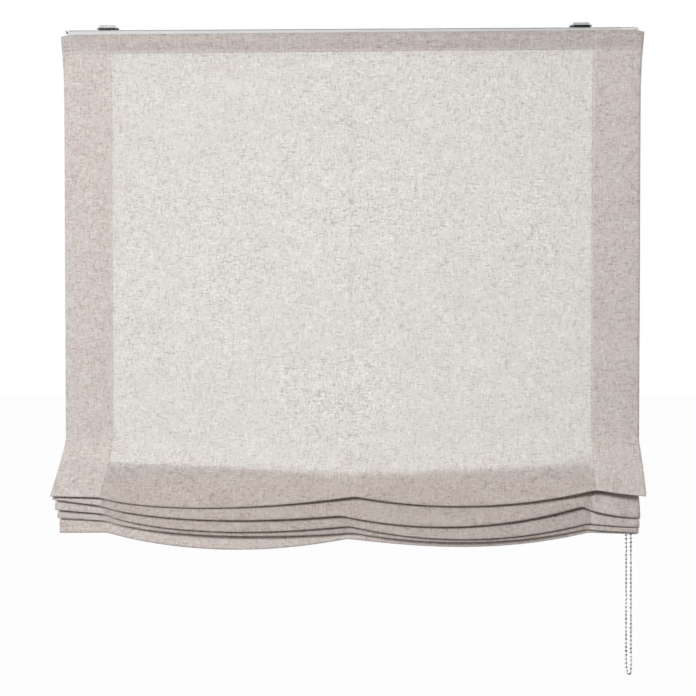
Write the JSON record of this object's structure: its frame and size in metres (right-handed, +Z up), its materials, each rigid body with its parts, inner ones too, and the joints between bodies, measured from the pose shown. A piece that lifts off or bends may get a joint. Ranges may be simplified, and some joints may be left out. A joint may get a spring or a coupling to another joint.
{
  "type": "roman blind",
  "caption": "Soft-fold roman blind with a linen cloth partly raised on a white chain-driven headrail, hung from the ceiling on turn-cam brackets, with a metal ball chain.",
  "frame": {"origin": "midway between the two bracket screw holes, on the ceiling face of the bracket plates", "axes": "+X to the viewer's right along the headrail, +Y away from the viewer, +Z up to the ceiling"},
  "size_m": [0.8611, 0.0812, 0.965],
  "materials": {
    "linen": "slubbed linen weave, slightly translucent",
    "rail_white": "white powder coat",
    "plastic_white": "satin",
    "plastic_grey": "satin",
    "plastic_dark": "satin",
    "bracket_steel": "zinc plated",
    "shaft_steel": "plain",
    "spring_steel": "plain",
    "chain_nickel": "nickel plated",
    "tape_white": "woven hook and loop tape",
    "cord_white": "braided cord",
    "ring_white": "moulded"
  },
  "bodies": {
    "headrail": {"headrail": "rail_white", "left_end_cap": "plastic_white", "drive_housing": "plastic_white", "drive_cover": "plastic_white", "brake_spring": "spring_steel", "hook_tape": "tape_white", "loop_tape": "tape_white", "blind_cloth": "linen", "bead_chain": "chain_nickel", "chain_connector": "chain_nickel", "spool_cradle_left": "plastic_white", "lift_cord_left": "cord_white", "cord_rings_left": "ring_white", "cord_orb_left": "ring_white", "spool_cradle_centre": "plastic_white", "lift_cord_centre": "cord_white", "cord_rings_centre": "ring_white", "cord_orb_centre": "ring_white", "spool_cradle_right": "plastic_white", "lift_cord_right": "cord_white", "cord_rings_right": "ring_white", "cord_orb_right": "ring_white", "bracket_plate_left": "bracket_steel", "bracket_rivet_left": "bracket_steel", "bracket_plate_right": "bracket_steel", "bracket_rivet_right": "bracket_steel"},
    "drive_train": {"chain_wheel": "plastic_grey", "drive_shaft": "shaft_steel", "cord_spool_left": "plastic_white", "cord_spool_centre": "plastic_white", "cord_spool_right": "plastic_white", "cord_winding_left": "cord_white", "cord_winding_centre": "cord_white", "cord_winding_right": "cord_white"},
    "cam_left": {"bracket_cam_left": "plastic_dark"},
    "cam_right": {"bracket_cam_right": "plastic_dark"}
  },
  "joints": [
    {"name": "drive_turn", "type": "hinge", "parent": "headrail", "child": "drive_train", "pos_m": [0, 0.0064, -0.0272], "axis": [1, 0, 0], "range_deg": [-2970, 1980], "deforming": ["bead_chain"]},
    {"name": "cam_turn_left", "type": "hinge", "parent": "headrail", "child": "cam_left", "pos_m": [-0.3505, 0.0095, -0.0081], "axis": [0, 0, 1], "range_deg": [0, 90]},
    {"name": "cam_turn_right", "type": "hinge", "parent": "headrail", "child": "cam_right", "pos_m": [0.3505, 0.0095, -0.0081], "axis": [0, 0, 1], "range_deg": [0, 90]}
  ]
}
